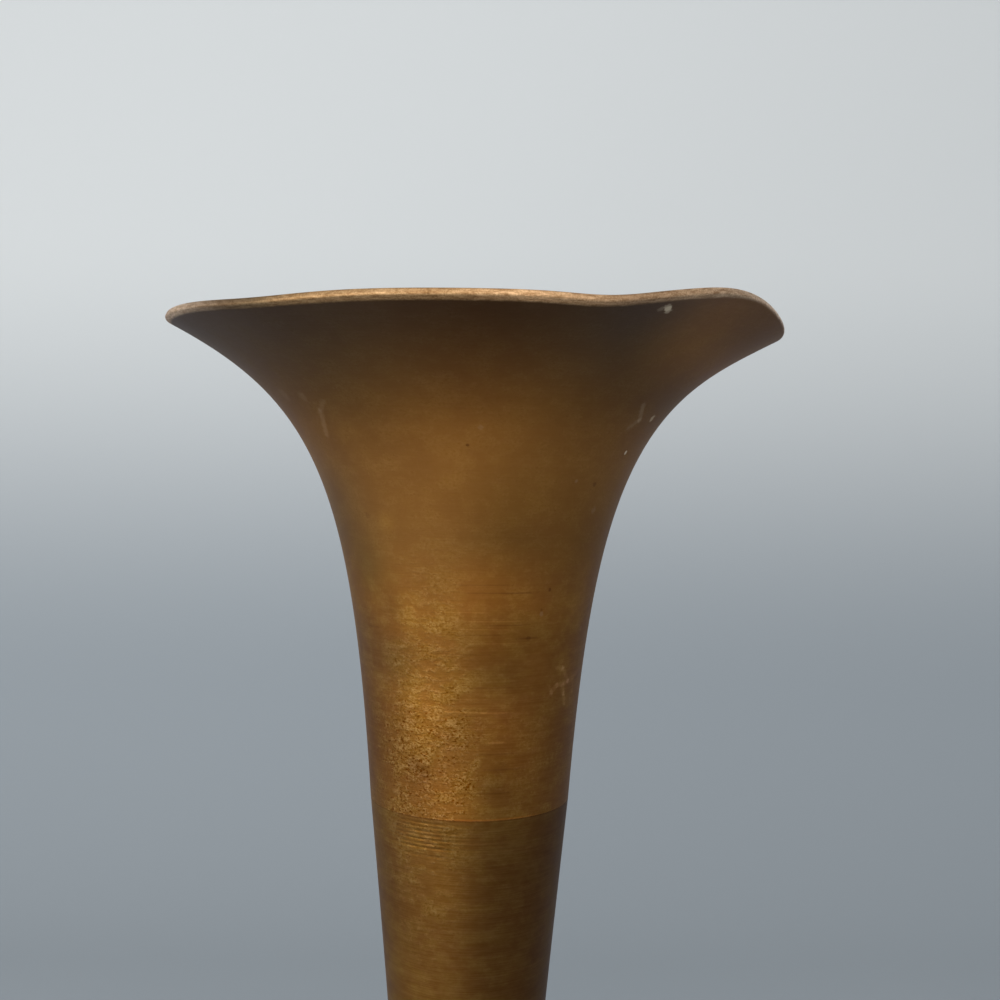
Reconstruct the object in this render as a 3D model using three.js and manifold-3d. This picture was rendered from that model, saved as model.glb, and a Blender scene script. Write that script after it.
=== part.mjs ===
import * as THREE from 'three';
import Module from 'manifold-3d';
import { mergeVertices } from 'three/addons/utils/BufferGeometryUtils.js';

// A turned brass trumpet vase, in millimetres. The origin is on the axis, on the surface that the
// vase stands on, with +Z up. +X points at the middle of the shallow dip in the lip.

// Mouth: a thin bell that rises from the joint line and flares to the lip
const jointRadius = 18.6;
const bellHeight = 87.25;
const bellWall = 1.3;
const lipRadius = 56.3;
const lipSlope = 27.2;
const lipEdgeRound = 0.45;
const neckLean = 0.069;
const neckReach = 60.3;
const lipReach = 29.1;

// Waves of the lip, alike either side of the XZ plane. Each is a height at an angle from +X, and
// fades over a width in degrees on the side towards +X and one on the side away from it.
const lipDip = { at: 0, towards: 22, away: 22, height: -1.25 };
const lipHump = { at: 41.5, towards: 19, away: 18.5, height: 2.82 };
const lipRipple = { at: 69.5, towards: 8, away: 8, height: -0.52 };
const lipSag = { at: 128, towards: 14, away: 14, height: -0.58 };
const waveReach = 24;

// Stem: the lower tube, with a waist and a band of turned grooves under the joint line
const stemLength = 143;
const stemWall = 1.8;
const stemTaper = 0.095;
const taperReach = 45;
const waistRadius = 11.3;
const waistHeight = 32;
const waistReach = 35;
const stemFootRadius = 13;
const grooveCount = 9;
const groovePitch = 0.75;
const grooveDepth = 0.05;
const grooveStart = 0.5;

// Sleeve inside the joint, and the ledge in the stem that it stands on
const sleeveLength = 24;
const sleeveWall = 1;
const sleeveLedge = 0.5;

// Plug that closes the stem, with the boss that the tie bolt screws into
const floorThickness = 6;
const bossRadius = 6.5;
const bossLength = 24;
const tappedDepth = 18;

// Collar between the stem and the foot
const collarRadius = 17;
const collarHeight = 8;

// Foot: a domed shell with a rounded edge and a rebate for the base plate
const footRadius = 42.5;
const footHeight = 42;
const footWall = 2;
const footNeckRadius = 15;
const footSlope = 14;
const footEdgeRound = 4;
const footEdgeHeight = 8.5;
const footNeckReach = 20;
const footSkirtReach = 15;
const rebateWall = 1.2;
const footLift = 1;

// Base plate, dished upwards in the middle for the bolt's head
const plateThickness = 1.5;
const wellRadius = 10;
const wellDepth = 6;
const wellSpread = 2;

// Ballast: a cast ring on the base plate
const ballastMargin = 8.5;
const ballastEdgeHeight = 5;
const ballastHeight = 9;
const ballastChamfer = 10;

// Tie bolt and its washer
const boltRadius = 3;
const boltHeadWidth = 10;
const boltHeadHeight = 4;
const threadOverlap = 16;
const washerRadius = 7;
const washerThickness = 1;

// Felt pad
const feltThickness = 1.5;
const feltMargin = 1.5;

// Clearances and fineness
const slipFit = 0.1;
const looseFit = 0.3;
const roundSteps = 36;
const mouthSteps = 72;
const flareSteps = 16;
const stemSteps = 8;
const domeSteps = 10;
const arcSteps = 4;

// Heights of the seats, each worked out from the pieces below it
const plateBottom = feltThickness;
const plateTop = plateBottom + plateThickness;
const wellRoof = plateBottom + wellDepth;
const footTop = footHeight;
const collarTop = footTop + collarHeight;
const jointZ = collarTop + stemLength;

// Radii that seat pieces in one another
const socketRadius = jointRadius - stemTaper * sleeveLength / 2 - stemWall + sleeveLedge;
const floorBoreRadius = stemFootRadius - stemWall;
const tieHoleRadius = bossRadius + looseFit;
const rebateRadius = footRadius - rebateWall;
const plateRadius = rebateRadius - looseFit;
const boltHoleRadius = boltRadius + looseFit;

const wasm = await Module();
wasm.setup();

const vase = new THREE.Group();
const radians = THREE.MathUtils.degToRad;

const agedBrass = { color: 0x7b5428, roughness: 0.42, metalness: 1 };
const castIron = { color: 0x3a3a3c, roughness: 0.8, metalness: 0.6 };
const zincSteel = { color: 0xa7a9a8, roughness: 0.4, metalness: 1 };
const darkFelt = { color: 0x2f3a33, roughness: 0.95, metalness: 0 };

function addPiece(name, geometry, finish) {
  const mesh = new THREE.Mesh(geometry, new THREE.MeshStandardMaterial(finish));
  mesh.name = name;
  vase.add(mesh);
}

// A solid of revolution about +Z, from points (radius, height) that run up its outside and close
function turned(outline, steps = roundSteps) {
  return spun([...outline, outline[0]], steps);
}

function turnedDisc(radius, bottom, top) {
  return spun([at(0, bottom), at(radius, bottom), at(radius, top), at(0, top)]);
}

// The lathe turns about Y, so the solid is then stood up
function spun(points, steps = roundSteps) {
  const geometry = new THREE.LatheGeometry(points, steps);
  geometry.rotateX(Math.PI / 2);
  return geometry;
}

function at(radius, height) {
  return new THREE.Vector2(radius, height);
}

// A point that lies a distance from another, at an angle above the horizontal
function awayFrom(point, angle, distance) {
  return at(point.x + distance * Math.cos(radians(angle)), point.y + distance * Math.sin(radians(angle)));
}

function arc(centre, radius, fromAngle, toAngle) {
  const points = [];
  for (let i = 0; i <= arcSteps; i += 1) {
    points.push(awayFrom(centre, fromAngle + (toAngle - fromAngle) * i / arcSteps, radius));
  }
  return points;
}

// Points along a curve from one share of it to another, each moved to the left by an offset
function along(curve, from, to, offset, steps) {
  const points = [];
  for (let i = 0; i <= steps; i += 1) {
    const share = from + (to - from) * i / steps;
    const point = curve.getPoint(share);
    const tangent = curve.getTangent(share);
    points.push(at(point.x - tangent.y * offset, point.y + tangent.x * offset));
  }
  return points;
}

// Closed solid for cutting and joining
function solid(geometry) {
  const bare = new THREE.BufferGeometry();
  bare.setAttribute('position', geometry.getAttribute('position'));
  bare.setIndex(geometry.getIndex());
  const merged = mergeVertices(bare, 1e-4);
  const mesh = new wasm.Mesh({
    numProp: 3,
    vertProperties: new Float32Array(merged.getAttribute('position').array),
    triVerts: new Uint32Array(merged.getIndex().array),
  });
  mesh.merge();
  return new wasm.Manifold(mesh);
}

function geometryOf(manifold) {
  const mesh = manifold.getMesh();
  const geometry = new THREE.BufferGeometry();
  geometry.setAttribute('position', new THREE.BufferAttribute(mesh.vertProperties, mesh.numProp));
  geometry.setIndex(new THREE.BufferAttribute(mesh.triVerts, 1));
  geometry.computeVertexNormals();
  return geometry;
}

// Height that the waves add to the lip at an angle from +X of 0 to 180 degrees, on either side
function waveHeight(angle) {
  let height = 0;
  for (const wave of [lipDip, lipHump, lipRipple, lipSag]) {
    const apart = angle - wave.at;
    const width = apart < 0 ? wave.towards : wave.away;
    height += wave.height * Math.exp(-((apart / width) ** 2));
  }
  return height;
}

// Mouth: outside up the bell, round the lip's edge, down inside, to a thicker land round the sleeve
function mouth() {
  const foot = at(jointRadius, jointZ);
  const lip = at(lipRadius, jointZ + bellHeight);
  const flare = new THREE.CubicBezierCurve(
    foot,
    at(jointRadius + neckLean * neckReach, jointZ + neckReach),
    awayFrom(lip, lipSlope + 180, lipReach),
    lip,
  );
  const end = 1 - lipEdgeRound / (3 * lipReach);
  const edge = awayFrom(lip, lipSlope + 180, lipEdgeRound);
  const outside = along(flare, 0, end, 0, flareSteps);
  const lipArcs = [
    ...arc(awayFrom(edge, lipSlope + 90, lipEdgeRound), lipEdgeRound, lipSlope - 90, lipSlope),
    ...arc(awayFrom(edge, lipSlope + 90, bellWall - lipEdgeRound), lipEdgeRound, lipSlope, lipSlope + 90),
  ];
  const landTop = jointZ + sleeveLength / 2;
  const blendTop = landTop + sleeveLength / 4;
  const inside = along(flare, end, 0, bellWall, flareSteps).filter((point) => point.y > blendTop);
  const land = [at(socketRadius, landTop), at(socketRadius, jointZ)];
  const outline = [...outside, ...lipArcs.slice(1, -1), ...inside, ...land];
  const geometry = turned(outline, mouthSteps);
  const place = geometry.getAttribute('position');
  for (let i = 0; i < place.count; i += 1) {
    const radius = Math.hypot(place.getX(i), place.getY(i));
    const share = THREE.MathUtils.smoothstep(radius, lipRadius - waveReach, lipRadius);
    const angle = THREE.MathUtils.radToDeg(Math.atan2(Math.abs(place.getY(i)), place.getX(i)));
    place.setZ(i, place.getZ(i) + share * waveHeight(angle));
  }
  return geometry;
}

// Stem: outside up from the collar through the waist to the joint, then down inside
function stem() {
  const waistZ = collarTop + waistHeight;
  const lower = new THREE.CubicBezierCurve(
    at(stemFootRadius, collarTop),
    at(stemFootRadius, collarTop + waistHeight / 3),
    at(waistRadius, waistZ - waistHeight / 2),
    at(waistRadius, waistZ),
  );
  const upper = new THREE.CubicBezierCurve(
    at(waistRadius, waistZ),
    at(waistRadius, waistZ + waistReach),
    at(jointRadius - stemTaper * taperReach, jointZ - taperReach),
    at(jointRadius, jointZ),
  );
  const floorTop = collarTop + floorThickness + looseFit;
  const socketBottom = jointZ - sleeveLength / 2;
  const bandBottom = jointZ - grooveStart - grooveCount * groovePitch;
  const outside = [
    ...along(lower, 0, 1, 0, stemSteps),
    ...along(upper, 0, 1, 0, stemSteps).slice(1).filter((point) => point.y < bandBottom - groovePitch),
  ];
  const grooves = [];
  for (let i = 0; i <= 2 * grooveCount; i += 1) {
    const height = bandBottom + i * groovePitch / 2;
    const depth = i % 2 === 1 ? grooveDepth : 0;
    grooves.push(at(jointRadius - stemTaper * (jointZ - height) - depth, height));
  }
  const socket = [
    at(jointRadius, jointZ),
    at(socketRadius, jointZ),
    at(socketRadius, socketBottom),
    at(jointRadius - stemTaper * sleeveLength / 2 - stemWall, socketBottom),
  ];
  const inside = [
    ...along(upper, 1, 0, stemWall, stemSteps).filter((point) => point.y < socketBottom - groovePitch),
    ...along(lower, 1, 0, stemWall, stemSteps).slice(1).filter((point) => point.y > floorTop + groovePitch),
  ];
  const lowest = inside[inside.length - 1];
  const floorBore = [
    at(lowest.x, floorTop),
    at(floorBoreRadius, floorTop),
    at(floorBoreRadius, collarTop),
  ];
  return turned([...outside, ...grooves, ...socket, ...inside, ...floorBore]);
}

// Sleeve: stands on the ledge in the stem and reaches up inside the mouth
function jointSleeve() {
  const outer = socketRadius - slipFit;
  const inner = outer - sleeveWall;
  const bottom = jointZ - sleeveLength / 2;
  const top = bottom + sleeveLength - looseFit;
  return turned([at(inner, bottom), at(outer, bottom), at(outer, top), at(inner, top)]);
}

// Plug in the stem's foot, with a boss that hangs through the collar and the foot's top
function stemFloor() {
  const top = collarTop + floorThickness;
  const bossBottom = collarTop - bossLength;
  const tappedRadius = boltRadius + slipFit;
  return spun([
    at(0, bossBottom + tappedDepth),
    at(tappedRadius, bossBottom + tappedDepth),
    at(tappedRadius, bossBottom),
    at(bossRadius, bossBottom),
    at(bossRadius, collarTop),
    at(floorBoreRadius - slipFit, collarTop),
    at(floorBoreRadius - slipFit, top),
    at(0, top),
  ]);
}

// Collar: a ring with a half-round bead
function footCollar() {
  const beadRound = collarHeight / 2;
  const beadCentre = at(collarRadius - beadRound, footTop + beadRound);
  return turned([at(tieHoleRadius, footTop), ...arc(beadCentre, beadRound, -90, 90), at(tieHoleRadius, collarTop)]);
}

// Foot: an even wall that sweeps down from its neck, turns over the rounded edge and drops to the rim
function foot() {
  const edgeCentre = at(footRadius - footEdgeRound, footEdgeHeight);
  const shoulder = awayFrom(edgeCentre, 90 - footSlope, footEdgeRound);
  const dome = new THREE.CubicBezierCurve(
    at(footNeckRadius, footTop),
    at(footNeckRadius, footTop - footNeckReach),
    awayFrom(shoulder, 180 - footSlope, footSkirtReach),
    shoulder,
  );
  const roof = footTop - footWall;
  const outside = [
    ...along(dome, 0, 1, 0, domeSteps),
    ...arc(edgeCentre, footEdgeRound, 90 - footSlope, 0).slice(1),
    at(footRadius, footLift),
  ];
  const rebate = [
    at(rebateRadius, footLift),
    at(rebateRadius, plateTop),
    at(footRadius - footWall, plateTop),
  ];
  const inside = [
    ...arc(edgeCentre, footEdgeRound - footWall, 0, 90 - footSlope),
    ...along(dome, 1, 0, -footWall, domeSteps).slice(1).filter((point) => point.y < roof),
    at(footNeckRadius - footWall, roof),
  ];
  const hole = [at(tieHoleRadius, roof), at(tieHoleRadius, footTop)];
  return turned([...outside, ...rebate, ...inside, ...hole].reverse());
}

// Base plate: flat round the edge, dished upwards in the middle
function basePlate() {
  const wellFoot = wellRadius + wellSpread;
  return turned([
    at(boltHoleRadius, wellRoof),
    at(wellRadius, wellRoof),
    at(wellFoot, plateBottom),
    at(plateRadius, plateBottom),
    at(plateRadius, plateTop),
    at(wellFoot + plateThickness, plateTop),
    at(wellRadius + plateThickness, wellRoof + plateThickness),
    at(boltHoleRadius, wellRoof + plateThickness),
  ]);
}

function ballastRing() {
  const inner = wellRadius + wellSpread + plateThickness + looseFit;
  const outer = footRadius - ballastMargin;
  return turned([
    at(inner, plateTop),
    at(outer, plateTop),
    at(outer, plateTop + ballastEdgeHeight),
    at(outer - ballastChamfer, plateTop + ballastHeight),
    at(inner, plateTop + ballastHeight),
  ]);
}

function tieWasher() {
  const bottom = wellRoof - washerThickness;
  return turned([
    at(boltHoleRadius, bottom),
    at(washerRadius, bottom),
    at(washerRadius, wellRoof),
    at(boltHoleRadius, wellRoof),
  ]);
}

// Bolt: a six-sided head under the washer and a plain shank up into the boss
function tieBolt() {
  const headTop = wellRoof - washerThickness;
  const shankTop = collarTop - bossLength + threadOverlap;
  const cornerRadius = boltHeadWidth / 2 / Math.cos(Math.PI / 6);
  const head = new THREE.CylinderGeometry(cornerRadius, cornerRadius, boltHeadHeight, 6);
  head.rotateX(Math.PI / 2);
  head.translate(0, 0, headTop - boltHeadHeight / 2);
  const shank = turnedDisc(boltRadius, headTop - boltHeadHeight / 2, shankTop);
  return geometryOf(solid(head).add(solid(shank)));
}

addPiece('mouth', mouth(), agedBrass);
addPiece('joint_sleeve', jointSleeve(), agedBrass);
addPiece('stem', stem(), agedBrass);
addPiece('stem_floor', stemFloor(), agedBrass);
addPiece('foot_collar', footCollar(), agedBrass);
addPiece('foot', foot(), agedBrass);
addPiece('ballast_ring', ballastRing(), castIron);
addPiece('tie_washer', tieWasher(), zincSteel);
addPiece('tie_bolt', tieBolt(), zincSteel);
addPiece('base_plate', basePlate(), agedBrass);
addPiece('felt_pad', turnedDisc(plateRadius - feltMargin, 0, feltThickness), darkFelt);

export default vase;
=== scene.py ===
import math

import bpy
import numpy as np
from mathutils import Matrix, Vector


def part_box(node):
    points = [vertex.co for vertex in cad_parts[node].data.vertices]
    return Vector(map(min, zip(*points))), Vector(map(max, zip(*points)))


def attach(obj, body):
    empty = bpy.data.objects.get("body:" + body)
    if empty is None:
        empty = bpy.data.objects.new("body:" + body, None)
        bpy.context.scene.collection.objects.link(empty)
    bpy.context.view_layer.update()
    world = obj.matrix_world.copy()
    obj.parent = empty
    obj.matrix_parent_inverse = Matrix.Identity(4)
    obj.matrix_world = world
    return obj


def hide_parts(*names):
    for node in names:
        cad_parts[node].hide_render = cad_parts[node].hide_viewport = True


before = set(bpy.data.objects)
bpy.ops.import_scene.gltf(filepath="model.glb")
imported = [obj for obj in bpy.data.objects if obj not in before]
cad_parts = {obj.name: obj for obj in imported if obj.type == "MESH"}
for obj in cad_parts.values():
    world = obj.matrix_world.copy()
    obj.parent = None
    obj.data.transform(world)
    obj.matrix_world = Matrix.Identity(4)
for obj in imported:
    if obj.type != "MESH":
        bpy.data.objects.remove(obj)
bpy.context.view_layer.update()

# A turned brass trumpet vase. The shapes repeat the part's own sizes, in millimetres, and take their
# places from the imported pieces. Angles are in degrees, counted from +X; the photographed side is at 270.

mm = 0.001
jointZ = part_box("stem")[1].z / mm
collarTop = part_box("stem")[0].z / mm
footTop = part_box("foot")[1].z / mm
print("frame loaded, joint at", round(jointZ, 2), "mm")


# Camera: the photograph's place, a little below the lip and almost level

cameraSpec = {
    "distance": 243.35,      # from the vase's axis
    "aboveJoint": 65.4,
    "down": 2.31,            # degrees
    "turned": 1.155,
    "rolled": 0.86,
    "lens": 46.8,
    "sensor": 36,
    "nearest": 10,           # nothing nearer is drawn
}


def makeCamera(spec):
    data = bpy.data.cameras.new("camera")
    data.sensor_width = spec["sensor"]
    data.lens = spec["lens"]
    data.clip_start = spec["nearest"] * mm
    camera = bpy.data.objects.new("camera", data)
    bpy.context.scene.collection.objects.link(camera)
    down, turned, rolled = (math.radians(spec[key]) for key in ("down", "turned", "rolled"))
    ahead = Vector((math.sin(turned) * math.cos(down), math.cos(turned) * math.cos(down), -math.sin(down)))
    right = Vector((math.cos(turned), -math.sin(turned), 0))
    up = right.cross(ahead)
    rightRolled = right * math.cos(rolled) + up * math.sin(rolled)
    upRolled = up * math.cos(rolled) - right * math.sin(rolled)
    place = Matrix((rightRolled, upRolled, -ahead)).transposed().to_4x4()
    place.translation = Vector((0, -spec["distance"], jointZ + spec["aboveJoint"])) * mm
    camera.matrix_world = place
    bpy.context.scene.camera = camera


makeCamera(cameraSpec)


# Outlines are arrays of (radius, height) in millimetres

def towards(degrees):
    return np.array([math.cos(math.radians(degrees)), math.sin(math.radians(degrees))])


def bezier(controls, shares):
    # A cubic curve: each control point weighted by its Bernstein share. Also gives the unit tangents.
    a, b, c, d = (np.array(point, float) for point in controls)
    t = np.asarray(shares, float)[:, None]
    s = 1 - t
    points = a * s**3 + 3 * b * s * s * t + 3 * c * s * t * t + d * t**3
    slopes = (b - a) * s * s + 2 * (c - b) * s * t + (d - c) * t * t
    return points, slopes / np.linalg.norm(slopes, axis=1)[:, None]


def leftOf(points, tangents, offset):
    # Each point moved square to its tangent, to the left of the way the curve runs
    return points + np.column_stack((-tangents[:, 1], tangents[:, 0])) * offset


def arc(centre, radius, first, last, steps=6):
    # Points round a centre, evenly spaced between two angles
    turn = np.radians(np.linspace(first, last, steps + 1))
    return np.array(centre) + radius * np.column_stack((np.cos(turn), np.sin(turn)))


def rounded(corners, radius, steps=4):
    # A closed outline whose corners become short quadratic curves that start and end a radius away, or
    # just before the middle of a short side
    points = np.array(corners, float)
    before = np.roll(points, 1, axis=0) - points
    after = np.roll(points, -1, axis=0) - points
    lengthBefore = np.linalg.norm(before, axis=1)[:, None]
    lengthAfter = np.linalg.norm(after, axis=1)[:, None]
    start = points + before / lengthBefore * np.minimum(radius, lengthBefore * 0.45)
    end = points + after / lengthAfter * np.minimum(radius, lengthAfter * 0.45)
    t = np.linspace(0, 1, steps + 1)[None, :, None]
    curve = start[:, None] * (1 - t) ** 2 + 2 * points[:, None] * t * (1 - t) + end[:, None] * t**2
    return curve.reshape(-1, 2)


sharpAngle = 40      # edges that turn by more stay crisp


def finishMesh(name, places, corners):
    # places are in millimetres; corners lists each face's corners in turn, as triangles or quads
    mesh = bpy.data.meshes.new(name)
    mesh.from_pydata(places * mm, [], corners)
    mesh.update()
    mesh.polygons.foreach_set("use_smooth", np.ones(len(mesh.polygons), bool))
    mesh.set_sharp_from_angle(angle=math.radians(sharpAngle))
    piece = bpy.data.objects.new(name, mesh)
    bpy.context.scene.collection.objects.link(piece)
    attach(piece, "root")
    return piece


def turnedGrid(outline, around):
    # The outline's radius, the angle round +Z and the outline's height, as equal grids
    angles = np.arange(around) * 2 * np.pi / around
    radius, angle = np.meshgrid(outline[:, 0], angles, indexing="ij")
    height = np.repeat(outline[:, 1:], around, axis=1)
    return radius, angle, height


def turnedPlaces(radius, angle, height):
    # x = r cos a, y = r sin a, z = h
    return np.stack((radius * np.cos(angle), radius * np.sin(angle), height), axis=-1).reshape(-1, 3)


def turnedFaces(row, nextRow, around):
    # Each face joins two neighbouring places of one row of the grid to the same two of the next
    column = np.arange(around)
    nextColumn = (column + 1) % around
    corners = (row * around + column, row * around + nextColumn,
               nextRow * around + nextColumn, nextRow * around + column)
    return np.stack(corners, axis=-1).reshape(-1, 4)


def turnedPiece(name, outline, around, shift=None):
    # The closed outline, run up its outside, is carried round +Z. shift, where given, moves the grid of
    # (radius, angle, height) before it is placed.
    radius, angle, height = turnedGrid(outline, around)
    if shift:
        radius, height = shift(radius, np.degrees(angle), height)
    row = np.arange(len(outline))[:, None]
    faces = turnedFaces(row, (row + 1) % len(outline), around)
    return finishMesh(name, turnedPlaces(radius, angle, height), faces)


def turnedSolid(name, outline, around):
    # As turnedPiece, for an outline that starts and ends on the axis, where fans close it
    rings = outline[1:-1]
    poles = [[0, 0, outline[0][1]], [0, 0, outline[-1][1]]]
    places = np.vstack((turnedPlaces(*turnedGrid(rings, around)), poles))
    row = np.arange(len(rings) - 1)[:, None]
    quads = turnedFaces(row, row + 1, around).tolist()
    column = np.arange(around)
    nextColumn = (column + 1) % around
    top = (len(rings) - 1) * around
    lowPole = np.full(around, len(places) - 2)
    highPole = np.full(around, len(places) - 1)
    lowFan = np.column_stack((lowPole, nextColumn, column)).tolist()
    highFan = np.column_stack((highPole, top + column, top + nextColumn)).tolist()
    return finishMesh(name, places, quads + lowFan + highFan)


# Mouth: the bell, with its waved lip

mouthSpec = {
    "jointRadius": 18.6,
    "height": 87.25,
    "wall": 1.3,
    "lipRadius": 56.3,
    "lipSlope": 27.2,
    "lipEdgeRound": 0.45,
    "neckLean": 0.069,
    "neckReach": 60.3,
    "lipReach": 29.1,
    "socketRadius": 16.16,
    "socketDepth": 12,
    "blend": 6,
    "waveReach": 24,
    "edgeBreak": 0.06,       # the tiny chamfer that shows as the joint line
    "outsideSteps": 150,
    "insideSteps": 90,
    "around": 300,
}

# Each wave of the lip: the angle it is at, its widths towards +X and away from it, and its height
lipWaves = [(0, 22, 22, -1.25), (41.5, 19, 18.5, 2.82), (69.5, 8, 8, -0.52), (128, 14, 14, -0.58)]


def mouthOutline(spec):
    # Up the outside on one cubic curve from the joint to the lip, round the lip on two small arcs, and
    # down the same curve set in by the wall, to the land and the socket
    lip = np.array([spec["lipRadius"], jointZ + spec["height"]])
    slope = spec["lipSlope"]
    controls = [
        [spec["jointRadius"], jointZ],
        [spec["jointRadius"] + spec["neckLean"] * spec["neckReach"], jointZ + spec["neckReach"]],
        lip - spec["lipReach"] * towards(slope),
        lip,
    ]
    edgeRound = spec["lipEdgeRound"]
    end = 1 - edgeRound / (3 * spec["lipReach"])
    outside, tangents = bezier(controls, np.linspace(0, end, spec["outsideSteps"]))
    outside[0] += [-spec["edgeBreak"], 0]
    outside = np.vstack((outside[:1], outside[0] + [spec["edgeBreak"], spec["edgeBreak"]], outside[1:]))
    edge = lip - edgeRound * towards(slope)
    lower = arc(edge + edgeRound * towards(slope + 90), edgeRound, slope - 90, slope)
    upper = arc(edge + (spec["wall"] - edgeRound) * towards(slope + 90), edgeRound, slope, slope + 90)
    inside, tangents = bezier(controls, np.linspace(end, 0, spec["insideSteps"]))
    inside = leftOf(inside, tangents, spec["wall"])
    landTop = jointZ + spec["socketDepth"]
    inside = inside[inside[:, 1] > landTop + spec["blend"]]
    land = [[spec["socketRadius"], landTop], [spec["socketRadius"], jointZ]]
    return np.vstack((outside, lower[1:], upper[:-1], inside, land))


def waveLip(radius, angle, height):
    # Height gained: the sum of the waves, each a bell curve of the angle from +X on either side,
    # faded in by a smooth step of the radius over the waves' reach
    fromX = np.abs((angle + 180) % 360 - 180)
    gained = 0
    for at, widthTowards, widthAway, rise in lipWaves:
        apart = fromX - at
        width = np.where(apart < 0, widthTowards, widthAway)
        gained = gained + rise * np.exp(-((apart / width) ** 2))
    share = np.clip((radius - mouthSpec["lipRadius"]) / mouthSpec["waveReach"] + 1, 0, 1)
    return radius, height + share * share * (3 - 2 * share) * gained


def markEdge(piece, outline, corner):
    # A point attribute for the finish: millimetres along the outline, counted from one of its points
    steps = np.linalg.norm(np.diff(outline, axis=0), axis=1)
    run = np.concatenate(([0], np.cumsum(steps)))
    around = len(piece.data.vertices) // len(outline)
    attribute = piece.data.attributes.new("pastEdge", "FLOAT", "POINT")
    attribute.data.foreach_set("value", np.repeat(run - run[corner], around))


bellOutline = mouthOutline(mouthSpec)
mouth = turnedPiece("mouth_bell", bellOutline, mouthSpec["around"], waveLip)
markEdge(mouth, bellOutline, mouthSpec["outsideSteps"])
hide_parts("mouth")
print("mouth made")


# Stem: the lower tube, with the turned grooves as real dips

stemSpec = {
    "wall": 1.8,
    "taper": 0.095,
    "taperReach": 45,
    "waistRadius": 11.3,
    "waistHeight": 32,
    "waistReach": 35,
    "footRadius": 13,
    "ledge": 0.5,
    "floor": 6,
    "floorGap": 0.3,         # between the floor plug and the bore's step
    "stepClear": 0.7,        # the curve of the bore stops this far from a step
    "grooveStart": 0.5,
    "groovePitch": 0.75,
    "grooveDepth": 0.047,
    "grooveShares": (0.6, 0.4, 0.6, 0.55, 1, 0.6, 0.9, 0.1, 0.4),      # of the depth, from the top down
    "grooveDeepest": 244,    # the side on which the worn grooves are still deep
    "grooveWorn": 0.12,      # the share of the depth that is left on the far side
    "grooveSpread": 15,      # degrees over which they wear away
    # what breaks a groove up: waves round the stem, phase from groove to groove, share of the depth
    "grooveBreaks": ((19, 2.6, 0.4), (47, 4.1, 0.4)),
    "grooveClear": 0.4,      # plain wall left below the band
    "grooveRows": 10,        # for each groove
    "lowSteps": 24,
    "highSteps": 60,
    "around": 360,
}


def grooveBand(spec):
    # The lowest and highest height of the grooved band
    top = jointZ - spec["grooveStart"]
    return top - len(spec["grooveShares"]) * spec["groovePitch"], top


def cutGrooves(radius, angle, height):
    # Depth: 1 - cos once in each pitch, times the groove's own share, a bell curve of the angle from the
    # deepest side, and sines of the angle that break each groove up differently
    bottom, top = grooveBand(stemSpec)
    turns = (height - bottom) / stemSpec["groovePitch"]
    shares = stemSpec["grooveShares"][::-1]
    middle = (mouthSpec["socketRadius"] + mouthSpec["jointRadius"]) / 2
    inBand = (turns > 0) & (turns < len(shares)) & (radius > middle)
    groove = np.clip(np.floor(turns), 0, len(shares) - 1).astype(int)
    apart = (angle - stemSpec["grooveDeepest"] + 180) % 360 - 180
    side = np.exp(-((apart / stemSpec["grooveSpread"]) ** 2))
    share = stemSpec["grooveWorn"] + (1 - stemSpec["grooveWorn"]) * side
    broken = 1
    for waves, phase, part in stemSpec["grooveBreaks"]:
        broken = broken + part * np.sin(np.radians(angle) * waves + phase * groove)
    share = share * broken * np.array(shares)[groove]
    dip = (0.5 - 0.5 * np.cos(2 * np.pi * turns)) * stemSpec["grooveDepth"] * share
    return radius - np.where(inBand, dip, 0), height


def stemOutline(spec):
    # Up two cubic curves that meet at the waist and a straight taper below the joint, then down the
    # socket and the same curves set in by the wall, to the step that the floor plug sits in
    radius = mouthSpec["jointRadius"]
    waistZ = collarTop + spec["waistHeight"]
    lower = [[spec["footRadius"], collarTop],
             [spec["footRadius"], collarTop + spec["waistHeight"] / 3],
             [spec["waistRadius"], waistZ - spec["waistHeight"] / 2],
             [spec["waistRadius"], waistZ]]
    upper = [[spec["waistRadius"], waistZ],
             [spec["waistRadius"], waistZ + spec["waistReach"]],
             [radius - spec["taper"] * spec["taperReach"], jointZ - spec["taperReach"]],
             [radius, jointZ]]
    lowPoints, lowTangents = bezier(lower, np.linspace(0, 1, spec["lowSteps"]))
    highPoints, highTangents = bezier(upper, np.linspace(0, 1, spec["highSteps"]))
    bandBottom, bandTop = grooveBand(spec)
    plain = highPoints[highPoints[:, 1] < bandBottom - spec["grooveClear"]]
    heights = np.linspace(bandBottom, bandTop, len(spec["grooveShares"]) * spec["grooveRows"] + 1)
    band = np.column_stack((radius - spec["taper"] * (jointZ - heights), heights))
    edgeBreak = mouthSpec["edgeBreak"]
    top = [[radius - spec["taper"] * edgeBreak, jointZ - edgeBreak], [radius - edgeBreak, jointZ]]
    socketZ = jointZ - mouthSpec["socketDepth"]
    socketRadius = mouthSpec["socketRadius"]
    socket = [[socketRadius, jointZ], [socketRadius, socketZ], [socketRadius - spec["ledge"], socketZ]]
    highInside = leftOf(highPoints, highTangents, spec["wall"])[::-1]
    lowInside = leftOf(lowPoints, lowTangents, spec["wall"])[::-1]
    floorTop = collarTop + spec["floor"] + spec["floorGap"]
    inside = np.vstack((highInside[highInside[:, 1] < socketZ - spec["stepClear"]], lowInside[1:]))
    inside = inside[inside[:, 1] > floorTop + spec["stepClear"]]
    bore = spec["footRadius"] - spec["wall"]
    foot = [[inside[-1, 0], floorTop], [bore, floorTop], [bore, collarTop]]
    return np.vstack((lowPoints, plain[1:], band, top, socket, inside, foot))


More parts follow.
